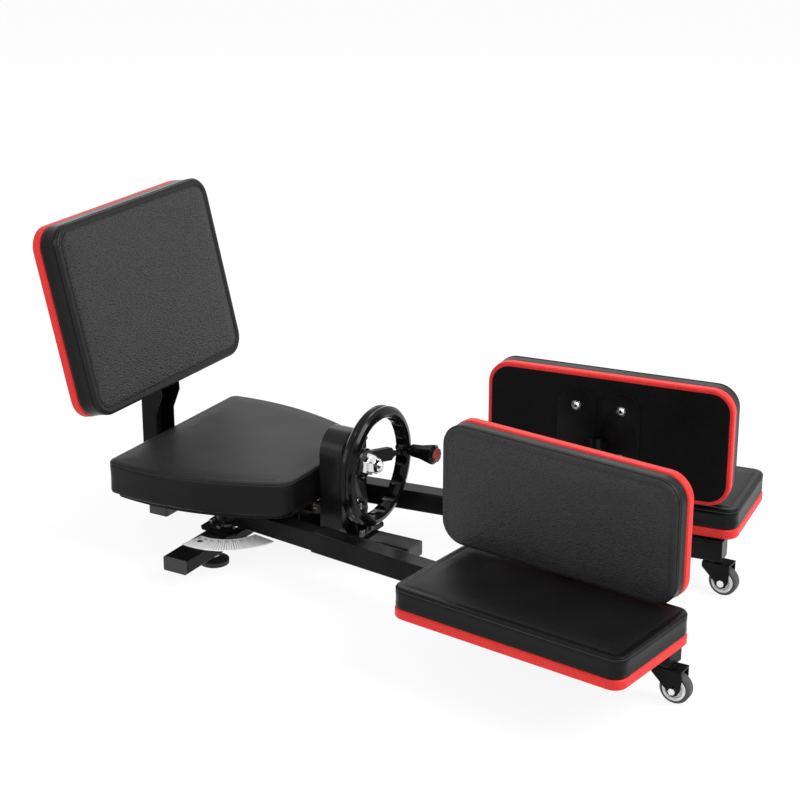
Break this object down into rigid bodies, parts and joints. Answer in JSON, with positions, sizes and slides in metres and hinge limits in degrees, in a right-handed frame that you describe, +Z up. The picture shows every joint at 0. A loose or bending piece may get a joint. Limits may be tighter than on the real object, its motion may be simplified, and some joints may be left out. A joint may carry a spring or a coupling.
{
  "type": "leg stretching machine",
  "caption": "Floor standing leg stretching machine: padded seat and back, and padded leg arms on casters, spread by a handwheel.",
  "frame": {"origin": "on the floor, under the middle of the whole machine", "axes": "+X forward from the backrest to the casters, +Y to the sitter's left, +Z up"},
  "size_m": [1.3064, 0.8336, 0.6259],
  "materials": {
    "black_paint": "gloss black powder coat",
    "black_vinyl": "fine grained synthetic leather",
    "red_vinyl": "grained red synthetic leather over plywood",
    "plywood": "black stained plywood",
    "bright_steel": "zinc and chrome plated",
    "machined_steel": "machined",
    "bronze": "sintered bronze",
    "black_plastic": "moulded",
    "gloss_plastic": "moulded, polished",
    "white_plastic": "moulded, white",
    "scale_white": "printed white plate",
    "cap_red": "moulded, dark red",
    "rubber": "matt",
    "tyre": "grey black tread"
  },
  "bodies": {
    "frame": {"base_beam": "black_paint", "stabiliser": "black_paint", "end_caps": "black_plastic", "levelling_pads": "rubber", "levelling_studs": "bright_steel", "back_post": "black_paint", "hex_bolts": "bright_steel", "round_screws": "bright_steel", "protractors": "scale_white", "back_board": "red_vinyl", "back_cushion": "black_vinyl", "seat_pedestals": "black_paint", "seat_board": "plywood", "seat_cushion": "black_vinyl", "worm_bushes": "bronze", "pivot_flanges": "black_paint", "pivot_shafts": "bright_steel", "gear_case": "black_paint", "gear_cover": "black_paint", "case_saddle": "black_paint", "idler_pin": "machined_steel"},
    "worm_shaft": {"worm_shaft": "machined_steel", "lower_gear": "machined_steel"},
    "idler": {"idler_gear": "machined_steel"},
    "handwheel": {"handwheel_gear": "machined_steel", "handwheel_shaft": "machined_steel", "handwheel": "gloss_plastic", "hub_nuts": "bright_steel", "handle_spindle": "bright_steel"},
    "handle": {"handle_grip": "gloss_plastic", "handle_cap": "cap_red"},
    "arm_left": {"arm_left": "black_paint", "arm_bushes_left": "bronze", "sector_left": "machined_steel"},
    "leg_left": {"leg_tube_left": "black_paint", "lower_board_left": "red_vinyl", "lower_cushion_left": "black_vinyl", "length_knob_left": "black_plastic"},
    "upright_left": {"upright_bracket_left": "black_paint", "upright_bolts_left": "bright_steel", "upright_board_left": "red_vinyl", "upright_cushion_left": "black_vinyl"},
    "caster_left": {"caster_fork_left": "black_paint"},
    "wheel_left": {"caster_rim_left": "white_plastic", "caster_tyre_left": "tyre"},
    "arm_right": {"arm_right": "black_paint", "arm_bushes_right": "bronze", "sector_right": "machined_steel"},
    "leg_right": {"leg_tube_right": "black_paint", "lower_board_right": "red_vinyl", "lower_cushion_right": "black_vinyl", "length_knob_right": "black_plastic"},
    "upright_right": {"upright_bracket_right": "black_paint", "upright_bolts_right": "bright_steel", "upright_board_right": "red_vinyl", "upright_cushion_right": "black_vinyl"},
    "caster_right": {"caster_fork_right": "black_paint"},
    "wheel_right": {"caster_rim_right": "white_plastic", "caster_tyre_right": "tyre"}
  },
  "joints": [
    {"name": "left_arm_swing", "type": "hinge", "parent": "frame", "child": "arm_left", "pos_m": [-0.32632, 0.10306, 0.092], "axis": [0, 0, 1], "range_deg": [-5, 80]},
    {"name": "right_arm_swing", "type": "hinge", "parent": "frame", "child": "arm_right", "pos_m": [-0.32632, -0.09294, 0.092], "axis": [0, 0, 1], "range_deg": [-80, 5]},
    {"name": "worm_spin", "type": "hinge", "parent": "frame", "child": "worm_shaft", "pos_m": [-0.32632, 0.00506, 0.092], "axis": [1, 0, 0], "range_deg": [-4640, 290]},
    {"name": "idler_spin", "type": "hinge", "parent": "frame", "child": "idler", "pos_m": [-0.14632, 0.00506, 0.144], "axis": [1, 0, 0], "range_deg": [-154, 2457]},
    {"name": "handwheel_spin", "type": "hinge", "parent": "frame", "child": "handwheel", "pos_m": [-0.07732, 0.00506, 0.196], "axis": [1, 0, 0], "range_deg": [-4640, 290]},
    {"name": "handle_spin", "type": "hinge", "parent": "handwheel", "child": "handle", "pos_m": [-0.04732, 0.10506, 0.196], "axis": [1, 0, 0], "continuous": true},
    {"name": "left_leg_slide", "type": "slide", "parent": "arm_left", "child": "leg_left", "axis": [0.9925, 0.1219, 0], "range_m": [-0.02, 0.103]},
    {"name": "left_upright_turn", "type": "hinge", "parent": "leg_left", "child": "upright_left", "pos_m": [0.31045, 0.14396, 0.186], "axis": [0, 0, 1], "range_deg": [-10, 10]},
    {"name": "left_caster_swivel", "type": "hinge", "parent": "leg_left", "child": "caster_left", "pos_m": [0.5243, 0.2075, 0.062], "axis": [0, 0, 1], "continuous": true},
    {"name": "left_wheel_roll", "type": "hinge", "parent": "caster_left", "child": "wheel_left", "pos_m": [0.5443, 0.2075, 0.0265], "axis": [0, 1, 0], "continuous": true},
    {"name": "right_leg_slide", "type": "slide", "parent": "arm_right", "child": "leg_right", "axis": [0.9925, -0.1219, 0], "range_m": [-0.103, 0.02]},
    {"name": "right_upright_turn", "type": "hinge", "parent": "leg_right", "child": "upright_right", "pos_m": [0.39283, -0.14396, 0.186], "axis": [0, 0, 1], "range_deg": [-10, 10]},
    {"name": "right_caster_swivel", "type": "hinge", "parent": "leg_right", "child": "caster_right", "pos_m": [0.60668, -0.2075, 0.062], "axis": [0, 0, 1], "continuous": true},
    {"name": "right_wheel_roll", "type": "hinge", "parent": "caster_right", "child": "wheel_right", "pos_m": [0.62668, -0.2075, 0.0265], "axis": [0, 1, 0], "continuous": true}
  ],
  "couplings": [
    {"joint": "right_arm_swing", "follows": "left_arm_swing", "ratio": -1},
    {"joint": "worm_spin", "follows": "left_arm_swing", "ratio": -58},
    {"joint": "idler_spin", "follows": "left_arm_swing", "ratio": 30.706},
    {"joint": "handwheel_spin", "follows": "left_arm_swing", "ratio": -58}
  ]
}
